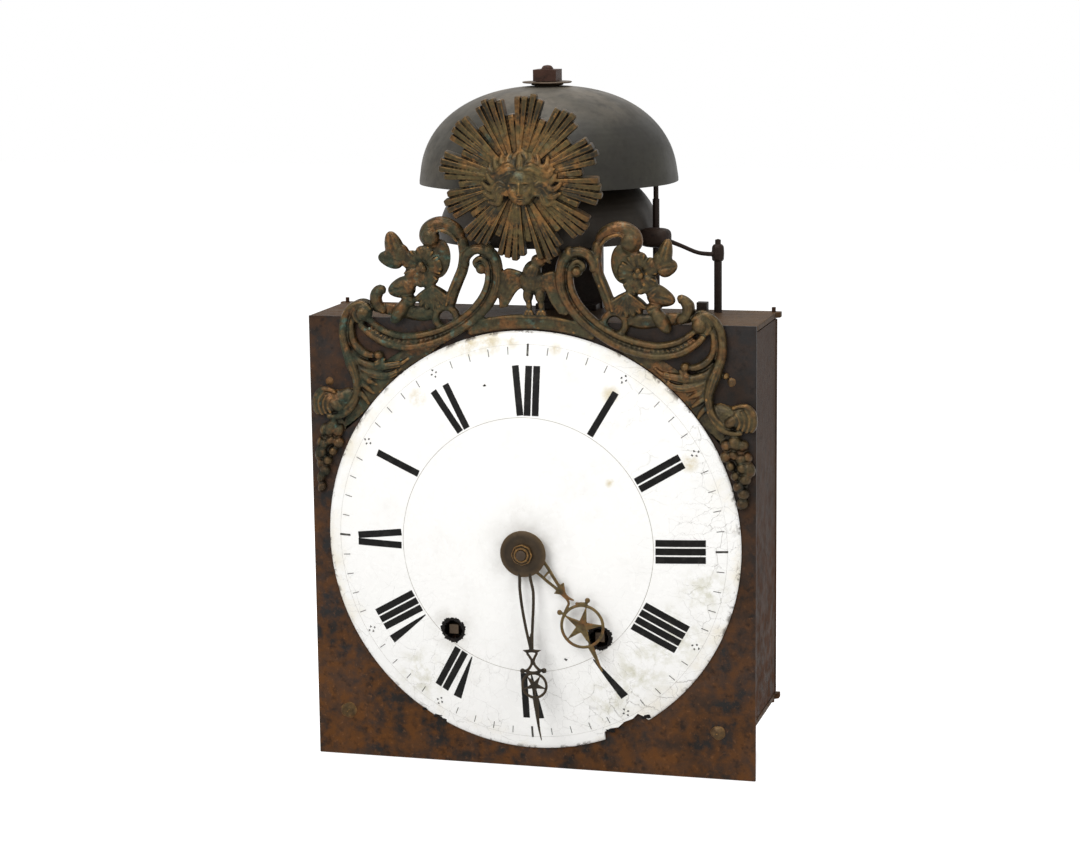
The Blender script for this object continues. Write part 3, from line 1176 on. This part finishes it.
def build_hammer():
    """The hour hammer on its upright arbor, whose tail reaches in to the pin wheel."""
    at = (HAMMER_X, HAMMER_Y, 0)
    foot_top = HAMMER_FOOT_Z + CAGE_SHEET
    profile = [(0, HAMMER_ARBOR_TOP_Z + 0.005), (0.0016, HAMMER_ARBOR_TOP_Z + 0.0045)]
    profile += [(0.0016, HAMMER_ARBOR_TOP_Z), (HAMMER_ARBOR_RADIUS, HAMMER_ARBOR_TOP_Z)]
    profile += [(HAMMER_ARBOR_RADIUS, foot_top + GAP), (PIVOT_RADIUS, foot_top + GAP)]
    profile += [(PIVOT_RADIUS, HAMMER_FOOT_Z + 0.0005), (0, HAMMER_FOOT_Z + 0.0005)]
    shaft = turned(profile, 10)
    pin_reach = TRAIN_X + LIFT_PIN_CIRCLE + 0.0045 - HAMMER_X
    tail_y = LIFT_WHEEL_Y + 0.006 - HAMMER_Y
    tail_outline = stroke([(0, 0), (pin_reach, tail_y)], (0.0030, 0.0022))
    tail = sheet([tail_outline], HAMMER_TAIL_Z - 0.0025, HAMMER_TAIL_Z + 0.0025, "XY")
    part("hammer_arbor", combined(shaft, [tail]), IRON, at=at)

    eye_low, eye_high = HAMMER_ARBOR_TOP_Z - 0.0025, HAMMER_ARBOR_TOP_Z + 0.0025
    bore = HAMMER_ARBOR_RADIUS + PIVOT_CLEARANCE
    eye = turned([(0.0042, eye_high), (0.0042, eye_low), (bore, eye_low), (bore, eye_high)], 10)
    head = Vector((HAMMER_HEAD_X - HAMMER_X, HAMMER_HEAD_Y - HAMMER_Y, PLATE_HEIGHT + HAMMER_HEAD_RISE))
    flat = Vector((head.x, head.y, 0)).normalized()
    middle = (eye_low + eye_high) / 2
    start = flat * 0.0034
    near, bend, end = flat * 0.008, flat * 0.013, head - flat * 0.005
    route = [(start.x, start.y, middle), (near.x, near.y, middle - 0.0004)]
    route += [(bend.x, bend.y, middle + 0.001), end]
    arm = tube(route, (0.0016, 0.0014), steps=2)
    part("hammer_arm", combined(eye, [arm]), IRON, at=at)

    nut_low = eye_high + GAP
    nut = sheet([circle(0, 0, 0.0034, 6)], nut_low, nut_low + 0.0024, "XY")
    hole = rod(0.0016 + PIVOT_CLEARANCE, (0, 0, nut_low - 0.002), (0, 0, nut_low + 0.006))
    part("hammer_nut", cut(nut, [hole]), IRON, at=at)

    out = Vector((HAMMER_HEAD_X - BELL_X, HAMMER_HEAD_Y - BELL_Y, 0)).normalized()
    radius, reach = HAMMER_HEAD_RADIUS, HAMMER_HEAD_HALF
    upper = [(0, reach), (radius * 0.72, reach * 0.95), (radius, reach * 0.61)]
    block = turned(upper + [(r, -z) for r, z in reversed(upper)], 10)
    block.transform(Matrix.Translation(head) @ out.to_track_quat("Z", "Y").to_matrix().to_4x4())
    socket = tube([route[-2], end], (0.0014 + GAP + 0.0001, 0.0014 + GAP + 0.0001), steps=2, resolution=2)
    socket.transform(Matrix.Translation(flat * 0.0003))
    part("hammer_head", cut(block, [socket]), IRON, at=at)

    pillar_face = HALF_WIDTH - PILLAR_INSET - PILLAR_SIDE - GAP
    outline = rectangle(HAMMER_X - 0.005, HAMMER_Y - 0.004, pillar_face, HAMMER_Y + 0.004)
    hole = circle(HAMMER_X, HAMMER_Y, PIVOT_RADIUS + PIVOT_CLEARANCE)
    part("hammer_foot", sheet([outline, hole], HAMMER_FOOT_Z, foot_top, "XY"), IRON)


def build_half_hour_hammer():
    """The slimmer hammer inside the upper bell, on its own upright arbor beside the lower bell."""
    at = (HALF_X, HALF_Y, 0)
    step_z = PLATE_HEIGHT + HALF_STEP_RISE
    shoulder = HALF_COCK_Z + CAGE_SHEET + GAP
    profile = [(0, HALF_ARBOR_TOP_Z), (HALF_TIP_RADIUS, HALF_ARBOR_TOP_Z), (HALF_TIP_RADIUS, step_z)]
    profile.append((HALF_ARBOR_RADIUS, step_z))
    profile += [(HALF_ARBOR_RADIUS, shoulder), (PIVOT_RADIUS, shoulder), (PIVOT_RADIUS, HALF_COCK_Z + 0.0004)]
    profile.append((0, HALF_COCK_Z + 0.0004))
    shaft = turned(profile, SMALL_ROUND)
    tail = box((-0.010, -0.0012, shoulder + 0.002), (0, 0.0012, shoulder + 0.006))
    head_z = PLATE_HEIGHT + HALF_HEAD_RISE
    head = Vector((HALF_HEAD_X - HALF_X, HALF_HEAD_Y - HALF_Y, head_z))
    route = [(0, 0, HALF_ARBOR_TOP_Z - 0.002), (head.x / 2, head.y / 2, head_z - 0.001), head]
    arm = tube(route, (0.0013, 0.0013))
    knob = ball(head, (HALF_HEAD_RADIUS,) * 3, rings=4, segments=8)
    part("half_hour_hammer", combined(shaft, [tail, arm, knob]), IRON, at=at)


# Cast ornament


def scroll(points, radii, steps=1):
    """A cast scroll along a line of drawn points, with drawn radii."""
    path = [(u, 0.0, v) for u, v in (drawn(*point) for point in points)]
    return tube(path, [radius * UNIT for radius in radii], steps, resolution=0)


def leaf(x, z, length, width, angle, thick=2.6):
    """A plump cast leaf or petal, its middle at a drawn point and its length at an angle in degrees."""
    u, v = drawn(x, z)
    return ball((u, 0, v), (length * UNIT, thick * UNIT, width * UNIT), turn=-math.radians(angle))


def fan(x, z, reach, lobes, first, thick):
    """A flower or shell of rounded lobes about a drawn point, from a first angle in degrees."""
    outline = []
    for i in range(3 * lobes):
        edge = reach * (1.0 if i % 3 else 0.72)
        angle = math.radians(first) + 2 * math.pi * (i - 1) / (3 * lobes)
        outline.append(drawn(x + edge * math.cos(angle), z + edge * math.sin(angle)))
    return sheet([outline], -thick * UNIT, 1.1 * UNIT)


def half_pediment():
    """The right half of the casting: scrolls, flower, leaves, shell and grapes, about its own axis."""
    shapes = [
        scroll(
            [(88, 250.5), (94, 253.5), (100, 250), (103.8, 243), (104.3, 234), (102.5, 225)],
            (2.6, 3.2, 3.4),
        ),
        scroll([(103.7, 230), (99.5, 215), (96.7, 206), (97.5, 199.5), (101, 194)], (3.2, 3.0, 3.2)),
        scroll(
            [(94, 242.5), (88.5, 237.5), (80, 233.3), (70, 231.5), (58, 233.3), (47, 237.3)]
            + [(37, 243), (29, 249.5)]
            + [(23.5, 257), (20.3, 265), (20.5, 273), SCROLL_HEAD, (31, 279.5), (33.5, 275.5)],
            (3.0, 4.2, 4.4, 4.4, 4.4, 4.0, 3.6, 3.0),
        ),
        scroll(
            [(36, 288), (39.5, 294.5), (46.5, 298), (54, 295.5), (57.3, 289.5), (54, 285.5)],
            (3.2, 4.2, 4.6, 4.4),
        ),
        scroll([(36.5, 290), (35.5, 280), (37, 269), (40, 260.5), (44.5, 252)], (3.0, 2.8, 2.8)),
        scroll([(51, 246.5), (60, 245), (68, 246.5), (76, 248.5), (87, 249.5)], (2.8, 2.8)),
        scroll([(46, 250), (50, 258), (57, 270)], (2.6, 2.6)),
        scroll([(60, 271), (67, 274), (73, 278)], (2.4, 2.2)),
        scroll([(103, 231.5), (93, 224), (85, 220.5), (76, 219.8), (69, 222.5)], (3.2, 2.6, 1.4)),
        scroll([(99, 217), (90, 213.5), (83, 211.5)], (3.0, 1.8)),
    ]
    seat_x, seat_z = drawn(SCROLL_HEAD[0] - 2.5, SCROLL_HEAD[1] + 2.5)
    seat_front = (seat_x, -SUN_SEAT_DEPTH, seat_z)
    shapes.append(rod(4.2 * UNIT, (seat_x, 0, seat_z), seat_front, SMALL_ROUND, 3.2 * UNIT))
    ring = [circle(*drawn(46, 245.5), radius * UNIT, count) for radius, count in ((7.2, 10), (3.4, 8))]
    shapes.append(sheet(ring, -2.2 * UNIT, 1 * UNIT))
    shapes.append(fan(58.5, 270.5, 10.5, 5, 90, 3.4))
    shapes += [
        leaf(58.5, 270.5, 3.4, 3.4, 0, 5.4),
        leaf(28.5, 275.0, 4.6, 4.6, 0, 4.8),
        leaf(91.8, 246.5, 5.4, 5.4, 0, 4.8),
        leaf(72.5, 283.5, 8.0, 4.5, 70, 3.4),
        leaf(74.0, 275.5, 7.5, 4.3, 8, 3.2),
        leaf(68.5, 261.5, 7.0, 5.0, -10, 3.6),
        leaf(52.5, 256.0, 7.0, 6.0, 60, 3.8),
        leaf(82.5, 256.5, 6.5, 4.5, 70, 3.0),
        leaf(69.0, 248.0, 7.0, 4.0, 60, 3.4),
    ]
    shapes.append(fan(108, 195.5, 10.5, 7, 70, 3.0))
    shapes.append(leaf(108, 195.5, 4.4, 4.4, 0, 4.6))
    bunch = [(104, 192), (104, 180), (107, 170), (112, 160), (115, 160), (118.5, 170), (121, 180), (120, 192)]
    shapes.append(sheet([[drawn(x, z) for x, z in bunch]], -1.5 * UNIT, 1 * UNIT))
    for z, count in ((182.5, 2), (175.0, 2), (166.5, 2)):
        for k in range(count):
            shapes.append(leaf(110.2 + 5.6 * k, z - 2.4 * k, 3.6, 3.6, 0, 4.4))
    return shapes


def eagle():
    """The bird over the arch: body, head, beak, two wings that reach the scrolls, and two legs."""
    return [
        leaf(2.5, 267.0, 8.5, 6.0, 65, 4.6),
        leaf(5.6, 272.6, 5.0, 3.8, 60, 4.0),
        leaf(8.0, 277.0, 4.2, 3.8, 60, 4.0),
        leaf(12.0, 275.0, 3.4, 1.8, -35, 2.8),
        leaf(-8.5, 270.0, 9.5, 4.5, 165, 3.2),
        leaf(11.5, 266.0, 7.8, 4.5, -10, 3.2),
        leaf(0.0, 253.5, 2.2, 7.2, 0, 3.0),
        leaf(6.0, 253.5, 2.2, 7.2, 0, 3.0),
    ]


def mirrored(mesh):
    """A mirror image across the ornament's axis."""
    mesh = mesh.copy()
    mesh.transform(Matrix.Diagonal((-1, 1, 1, 1)))
    mesh.flip_normals()
    return mesh


def build_pediment():
    """The pierced pediment: every shape joined, backed flat, cleared round the dial and leant forward.

    So many crossing shapes make the usual solver leave open edges, so this one casting takes the other.
    """
    half = half_pediment()
    arch_centre = DIAL_X - PEDIMENT_X
    inner, outer = DIAL_RADIUS - 0.004, DIAL_RADIUS + DIAL_CLEARANCE + ARCH_WIDTH
    angles = [math.radians(90 + 19 * (1 - 2 * i / 8)) for i in range(9)]
    band = [(outer * math.cos(a), outer * math.sin(a)) for a in angles]
    band += [(inner * math.cos(a), inner * math.sin(a)) for a in reversed(angles)]
    arch = sheet([[(u + arch_centre, v + DIAL_Z) for u, v in band]], -2.7 * UNIT, 1.2 * UNIT)
    others = [*half, *(mirrored(shape) for shape in half), *eagle()]
    whole = combined(arch, others, solver="MANIFOLD")
    depth = 0.02
    far = 0.2
    flat_back = box((-far, -GAP, 0), (far, depth, 2 * far))
    room = rod(
        DIAL_RADIUS + DIAL_CLEARANCE,
        (arch_centre, -depth, DIAL_Z),
        (arch_centre, depth, DIAL_Z),
        64,
    )
    whole = cut(whole, [flat_back, room], solver="MANIFOLD")
    for vertex in whole.vertices:
        above = max(0.0, vertex.co.z - PLATE_HEIGHT)
        vertex.co.y -= PEDIMENT_LEAN * above
        vertex.co.x += PEDIMENT_SWAY * above
    part("pediment", whole, CAST_BRASS, at=(PEDIMENT_X, 0, 0))


def build_sunburst():
    """The pleated sunburst with a plain domed boss at its middle, seated on the scroll heads."""
    pleats = 5
    count = SUN_BUNDLES * pleats
    shape = bmesh.new()
    rings = []
    for reach, depth in ((0.34, SUN_CROWN), (0.7, 0.6 * SUN_CROWN), (1.0, 0.0)):
        ring = []
        for i in range(count):
            angle = 2 * math.pi * (i + 0.5) / count + UP - math.pi / SUN_BUNDLES
            edge = SUN_SHORT_RADIUS if i % pleats in (0, pleats - 1) else SUN_RADIUS
            radius = reach * (edge if reach > 0.6 else SUN_RADIUS)
            lift = depth + (SUN_PLEAT if i % 2 else -SUN_PLEAT)
            place = (radius * math.cos(angle), -SUN_SHEET - lift, radius * math.sin(angle))
            ring.append(shape.verts.new(place))
        rings.append(ring)
    back = [shape.verts.new((v.co.x, 0, v.co.z)) for v in rings[-1]]
    rings.append(back)
    for inner, outer in zip(rings, rings[1:]):
        for i in range(count):
            j = (i + 1) % count
            shape.faces.new((inner[i], inner[j], outer[j], outer[i]))
    shape.faces.new(rings[0])
    shape.faces.new(back)
    bmesh.ops.triangulate(shape, faces=[face for face in shape.faces if len(face.verts) > 4])
    rays = mesh_of(shape)
    face = (SUN_FACE_RADIUS * 0.86, SUN_FACE_DEPTH, SUN_FACE_RADIUS)
    boss = ball((0, -SUN_SHEET - SUN_FACE_RISE, 0), face, 6, 12)
    sun = part("sunburst", combined(rays, [boss]), CAST_BRASS, at=(SUN_X, SUN_BACK_Y, SUN_Z))
    sun.rotation_euler.x = math.atan(PEDIMENT_LEAN)


def main():
    build_front_plate()
    build_rivets()
    build_cage_plates()
    build_stud()
    build_pillars()
    build_bars()
    build_doors()
    build_dial()
    build_minute_hand()
    build_hour_hand()
    build_hand_nut()
    build_minute_arbor()
    build_minute_wheel()
    build_hour_wheel()
    for prefix, x in (("going", -TRAIN_X), ("strike", TRAIN_X)):
        build_barrel(f"{prefix}_barrel", x)
        build_great_wheel(prefix, x)
    build_going_train()
    build_strike_train()
    build_rack()
    build_bells()
    build_hammer()
    build_half_hour_hammer()
    build_pediment()
    build_sunburst()


clear_scene()
ROOT = bpy.data.objects.new("comtoise_clock_root", None)
PARTS.objects.link(ROOT)
ROOT.location = (0, -CAGE_DEPTH / 2, -BASE_HEIGHT)
main()
